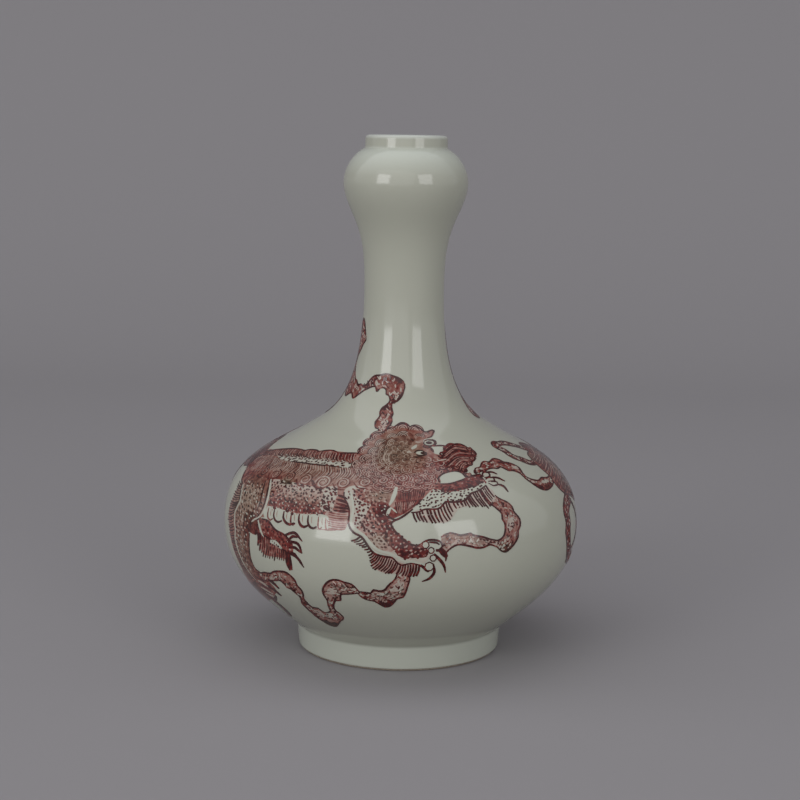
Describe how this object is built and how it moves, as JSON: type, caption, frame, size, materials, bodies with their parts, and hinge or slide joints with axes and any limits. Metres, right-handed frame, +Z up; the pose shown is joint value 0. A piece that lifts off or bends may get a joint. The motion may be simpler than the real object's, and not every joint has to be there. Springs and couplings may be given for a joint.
{
  "type": "garlic head vase",
  "caption": "Free-standing porcelain bottle vase with a squat belly, a long waisted neck and a bulb-shaped mouth with a short collar, for holding stems or for display.",
  "frame": {"origin": "centre of the ring that the foot rests on, on the surface it stands on", "axes": "+Z up along the axis of revolution; -Y is the painted front that the picture shows"},
  "size_m": [0.208, 0.208, 0.3],
  "materials": {
    "clay": "fired bare porcelain",
    "slip": "fired porcelain slip",
    "glaze": "clear pale greenish-white gloss glaze",
    "copper_red": "copper red brush painting under gloss glaze"
  },
  "bodies": {
    "root": {"foot_ring": "clay", "foot_slip": "slip", "lower_belly": "clay", "belly_slip": "slip", "upper_belly": "clay", "neck_slip": "slip", "neck": "clay", "head_slip": "slip", "garlic_head": "clay", "glaze_coat": "glaze", "base_glaze": "glaze"}
  },
  "joints": []
}
